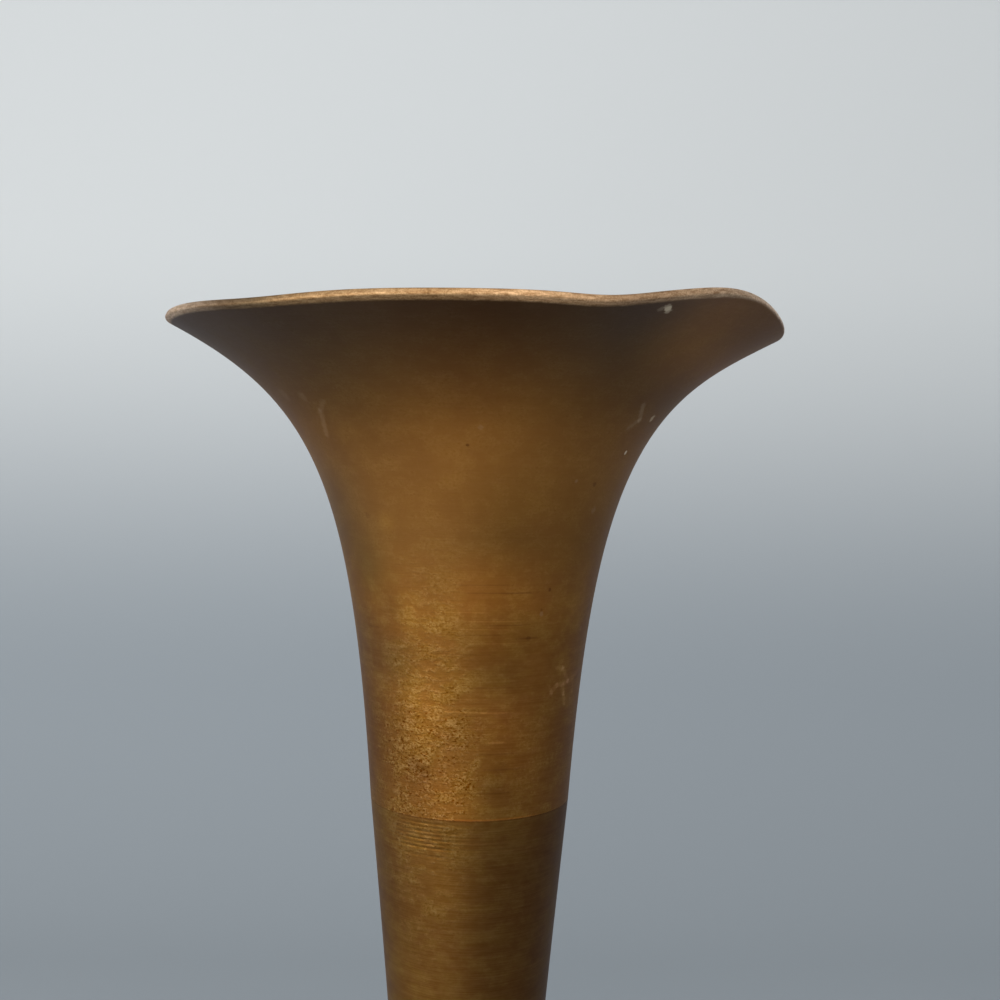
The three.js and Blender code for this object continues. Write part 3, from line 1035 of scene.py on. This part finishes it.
def mouthBrass(look):
    f = Finish("mouth brass")
    height = f.z - jointZ
    # darker towards the lip: partly patina, partly painted shade under the flare
    colour = f.ramp(height, look["heights"])
    lighter = f.step(f.x, *look["flareFrom"]) * f.step(height, *look["flareHeights"])
    colour = f.tint(colour, look["flareLighter"], lighter)
    lively = f.step(height, *look["lively"])
    lined = f.step(height, *look["lined"])
    colour, rough, normal = brassSurface(f, look, colour, lively, lined)
    colour = marked(f, look, colour, height)
    colour, worn = wornLipWithPaintedLight(f, look, colour)
    dust = dustOn(f, look)
    colour = f.mix(dust, colour, look["dust"])
    rough = rough + worn * look["wornRough"] + dust * look["dustRough"]
    return brassShader(f, look, colour, rough, normal, 1 - dust * look["dustCovers"])


stemLook = {
    **brassLook,
    "metal": (0.175, 0.084, 0.018),
    "shade": (0.60, 0.58, 0.68),      # painted shade: the side away from the patch and from the main lamps is darker
    "shadeFrom": (-9, 12),            # along X
    # two depths below the joint, and the shade's share at each
    "shadeDeepens": (0, 10, 0.8, 1),
    "shadeFades": (25, 100, 1, 0.35),
    # painted shade in a thin line just below the joint
    "jointDirt": (0.85, 0.80, 0.74),
    "jointDirtReach": (0.32, 0.08),   # millimetres below the joint
    # darker stretches: angle, millimetres below the joint, reach, tint
    "patches": [(257, 3.2, 3.5, (0.80, 0.76, 0.72)), (226, 2.8, 4, (0.88, 0.85, 0.98))],
    "speckleShare": (26, 10, 0.5, 0.44),
    "patchElsewhere": 0.12,
}
footLook = {**brassLook, "metal": (0.155, 0.074, 0.018), "patchElsewhere": 0.4}
innerLook = {**brassLook, "metal": (0.2, 0.095, 0.024), "rough": 0.45, "patchElsewhere": 0.2}


def onStem(angle, below):
    # The point of the stem's outer wall at an angle and a depth below the joint
    radius = mouthSpec["jointRadius"] - stemSpec["taper"] * below
    return (*(radius * towards(angle)), jointZ - below)


def turnedBrass(name, look):
    f = Finish(name)
    colour, rough, normal = brassSurface(f, look, look["metal"])
    if "shade" in look:
        down = jointZ - f.z
        # painted shade on the side away from the main lamps, fading down the stem
        shaded = f.step(f.x, *look["shadeFrom"]) * f.step(down, *look["shadeDeepens"])
        colour = f.tint(colour, look["shade"], shaded * f.step(down, *look["shadeFades"]))
        for angle, below, reach, tint in look["patches"]:
            colour = f.tint(colour, tint, f.haze(onStem(angle, below), reach))
        # painted shade in a thin line just below the joint
        colour = f.tint(colour, look["jointDirt"], f.step(down, *look["jointDirtReach"]))
    return brassShader(f, look, colour, rough, normal)


# The grain is the noise's scale per millimetre, and the depth of its bumps is in millimetres
plainLooks = {
    "cast iron": {"colour": (0.06, 0.06, 0.06), "rough": 0.75, "metallic": 0.6, "grain": 1.5, "depth": 0.2},
    "felt": {"colour": (0.03, 0.042, 0.034), "rough": 0.95, "metallic": 0.0, "grain": 3.0, "depth": 0.3},
    "zinc steel": {"colour": (0.5, 0.5, 0.49), "rough": 0.35, "metallic": 1.0, "grain": 1.2, "depth": 0.02},
}
# shades are the darkest and the palest grains, as shares of the colour
plainGrain = {"detail": 3, "rough": 0.6, "shades": (0.7, 1.3), "roughVaries": 0.2, "bump": 0.6}


def plainFinish(name):
    look = plainLooks[name]
    f = Finish(name)
    grain = f.noise(look["grain"], plainGrain["detail"], plainGrain["rough"])
    shades = [tuple(part * shade for part in look["colour"]) for shade in plainGrain["shades"]]
    return f.surface({"Base Color": f.mix(grain, *shades), "Metallic": look["metallic"],
                      "Roughness": look["rough"] + (grain - 0.5) * plainGrain["roughVaries"],
                      "Normal": f.bump(grain, look["depth"], plainGrain["bump"])})


def dress(piece, material):
    piece.data.materials.clear()
    piece.data.materials.append(material)


dress(mouth, mouthBrass(mouthLook))
dress(stem, turnedBrass("stem brass", stemLook))
footBrass = turnedBrass("foot brass", footLook)
dress(foot, footBrass)
dress(collar, footBrass)
innerBrass = turnedBrass("inner brass", innerLook)
for node in ("joint_sleeve", "stem_floor", "base_plate"):
    dress(innerPieces[node], innerBrass)
dress(innerPieces["ballast_ring"], plainFinish("cast iron"))
dress(innerPieces["felt_pad"], plainFinish("felt"))
zincSteel = plainFinish("zinc steel")
for node in ("tie_washer", "tie_bolt"):
    dress(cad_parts[node], zincSteel)
print("finishes made")


# Stage: a pale floor that curves up into a backdrop, a pale sky and soft lamps

stageSpec = {
    "halfWidth": 700,                # the paper ends before the lamps
    "front": -780,
    "wall": 750,
    "cove": 350,
    "height": 2600,
    "coveSteps": 24,
    "low": (0.30, 0.33, 0.355),      # the paper's colour at the floor, darker as painted shade of the light falling off downwards
    "high": (0.69, 0.705, 0.70),     # and high up the wall
    "between": (90, 420),            # the heights between which it changes
    "rough": 0.9,
    "sky": (0.95, 1.0, 1.05),
    "skyStrength": 0.42,
}


def makeStage(spec):
    # The section runs along the floor, round the cove and up the wall, and it is carried along X
    cove = arc((spec["wall"] - spec["cove"], spec["cove"]), spec["cove"], -90, 0, spec["coveSteps"])
    section = np.vstack(([[spec["front"], 0]], cove, [[spec["wall"], spec["height"]]]))
    halfWidth = np.full(len(section), spec["halfWidth"])
    left = np.column_stack((-halfWidth, section))
    right = np.column_stack((halfWidth, section))
    count = len(section)
    row = np.arange(count - 1)
    faces = np.column_stack((row, row + count, row + count + 1, row + 1)).tolist()
    mesh = bpy.data.meshes.new("studio")
    mesh.from_pydata(np.vstack((left, right)) * mm, [], faces)
    mesh.polygons.foreach_set("use_smooth", np.ones(len(faces), bool))
    studio = bpy.data.objects.new("studio", mesh)
    bpy.context.scene.collection.objects.link(studio)
    f = Finish("studio paper")
    # painted shade: the paper darkens towards the floor, where less light falls
    paper = f.mix(f.step(f.z, *spec["between"]), spec["low"], spec["high"])
    dress(studio, f.surface({"Base Color": paper, "Roughness": spec["rough"]}))
    world = bpy.data.worlds.new("sky")
    world.use_nodes = True
    sky = world.node_tree.nodes["Background"]
    sky.inputs["Color"].default_value = (*spec["sky"], 1)
    sky.inputs["Strength"].default_value = spec["skyStrength"]
    bpy.context.scene.world = world


makeStage(stageSpec)

# Lamps: place and aim in millimetres, size across and up, power in watts
panel = {"aim": (0, 0, 230), "size": (600, 900)}
lamps = [
    {"name": "window", "place": (-766, -643, 330), "power": 4.5, **panel},
    {"name": "side window", "place": (-985, -174, 330), "power": 2.7, **panel},
    {"name": "front", "place": (-342, -940, 330), "power": 5.2, **panel},
    {"name": "fill", "place": (866, -500, 330), "power": 1.15, **panel},
    {"name": "overhead", "place": (60, -700, 1150), "aim": (0, 0, 280), "size": (700, 500), "power": 5.4},
]


def makeLamp(spec):
    data = bpy.data.lights.new(spec["name"], "AREA")
    data.shape = "RECTANGLE"
    data.size, data.size_y = (side * mm for side in spec["size"])
    data.energy = spec["power"]
    lamp = bpy.data.objects.new(spec["name"], data)
    bpy.context.scene.collection.objects.link(lamp)
    lamp.location = Vector(spec["place"]) * mm
    aim = Vector(spec["aim"]) * mm - lamp.location
    lamp.rotation_euler = aim.to_track_quat("-Z", "Y").to_euler()
    lamp.visible_camera = False


for lamp in lamps:
    makeLamp(lamp)
bpy.context.scene.view_settings.view_transform = "Standard"
print("stage and lamps made")
